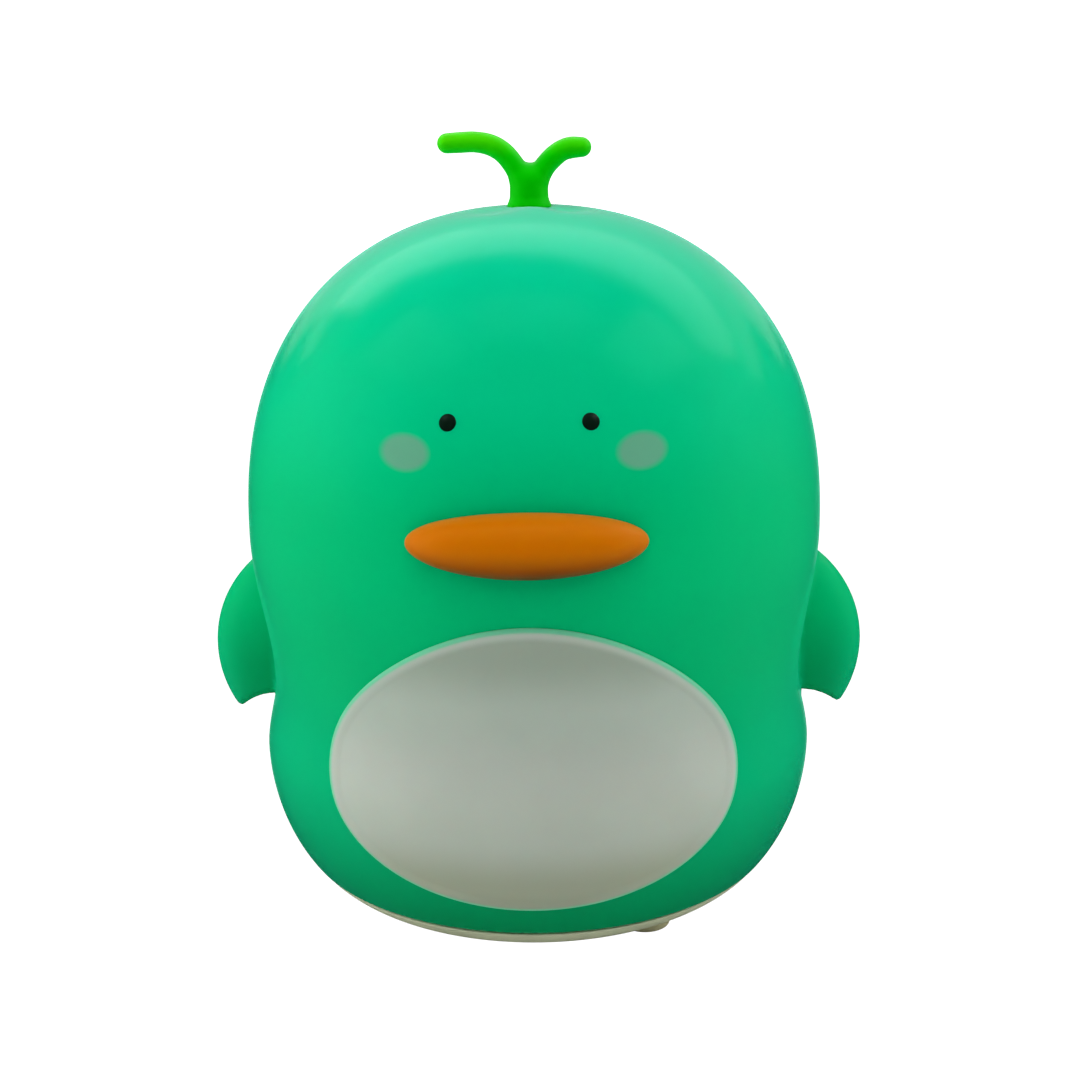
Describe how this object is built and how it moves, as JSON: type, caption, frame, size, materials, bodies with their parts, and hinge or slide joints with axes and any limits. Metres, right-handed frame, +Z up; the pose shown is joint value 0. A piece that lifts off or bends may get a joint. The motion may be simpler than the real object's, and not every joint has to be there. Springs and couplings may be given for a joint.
{
  "type": "night light",
  "caption": "Rechargeable bird-shaped pat night light: soft silicone cover with belly, beak, wings and sprout, lifting off a round lamp base with USB-C port and button.",
  "frame": {"origin": "middle of the outline seen from above, on the surface the feet stand on", "axes": "+Z up, -Y is the bird's front, +X is to the right as the bird is seen from the front"},
  "size_m": [0.1238, 0.1092, 0.1381],
  "materials": {
    "green_silicone": "soft matte silicone",
    "cream_silicone": "soft matte silicone",
    "orange_silicone": "soft satin silicone",
    "black_silicone": "satin silicone",
    "sprout_silicone": "soft satin silicone",
    "cream_plastic": "fine matte moulded ABS",
    "white_plastic": "satin moulded plastic",
    "diffuser_plastic": "translucent white, light-diffusing",
    "foot_rubber": "matte rubber",
    "steel": "bright zinc-plated steel",
    "green_laminate": "green solder-masked circuit board",
    "white_laminate": "white solder-masked circuit board",
    "led_case": "yellow phosphor over white case",
    "black_plastic": "moulded black plastic",
    "clear_plastic": "clear moulded plastic",
    "cell_pouch": "laminated foil pouch",
    "pad_foam": "foam tape",
    "red_wire": "insulated wire",
    "black_wire": "insulated wire"
  },
  "bodies": {
    "base": {"base_pan": "cream_plastic", "deck": "white_plastic", "foot_1": "foot_rubber", "base_screw_1": "steel", "foot_2": "foot_rubber", "base_screw_2": "steel", "foot_3": "foot_rubber", "base_screw_3": "steel", "diffuser_dome": "diffuser_plastic", "led_board": "white_laminate", "led_1": "led_case", "led_2": "led_case", "led_3": "led_case", "led_4": "led_case", "led_5": "led_case", "led_6": "led_case", "led_board_screw_1": "steel", "led_board_screw_2": "steel", "main_board": "green_laminate", "main_board_screw_1": "steel", "main_board_screw_2": "steel", "usb_shell": "steel", "usb_tongue": "black_plastic", "tact_switch_body": "black_plastic", "charge_led": "led_case", "charge_light_pipe": "clear_plastic", "vibration_sensor": "steel", "control_chip": "black_plastic", "charge_chip": "black_plastic", "battery_socket": "white_plastic", "battery_plug": "white_plastic", "battery_cell": "cell_pouch", "battery_pad": "pad_foam", "battery_lead_red": "red_wire", "battery_lead_black": "black_wire", "lamp_socket": "white_plastic", "lamp_lead": "black_wire"},
    "cover": {"body_skin": "green_silicone", "belly_patch": "cream_silicone", "beak": "orange_silicone", "eye_left": "black_silicone", "eye_right": "black_silicone"},
    "sprout": {"sprout": "sprout_silicone"},
    "button": {"button_cap": "white_plastic"},
    "plunger": {"tact_plunger": "black_plastic"}
  },
  "joints": [
    {"name": "cover_lift", "type": "slide", "parent": "base", "child": "cover", "axis": [0, 0, 1], "range_m": [0, 0.06]},
    {"name": "sprout_flex", "type": "hinge", "parent": "cover", "child": "sprout", "pos_m": [0, 0.00257, 0.1252], "axis": [0, 1, 0], "range_deg": [-20, 20], "stiffness_Nm_per_rad": 0.02},
    {"name": "button_press", "type": "slide", "parent": "base", "child": "button", "axis": [0, -1, 0], "range_m": [0, 0.0005], "stiffness_N_per_m": 2000},
    {"name": "plunger_press", "type": "slide", "parent": "base", "child": "plunger", "axis": [0, -1, 0], "range_m": [0, 0.0005]}
  ],
  "couplings": [
    {"joint": "plunger_press", "follows": "button_press", "ratio": 1}
  ]
}
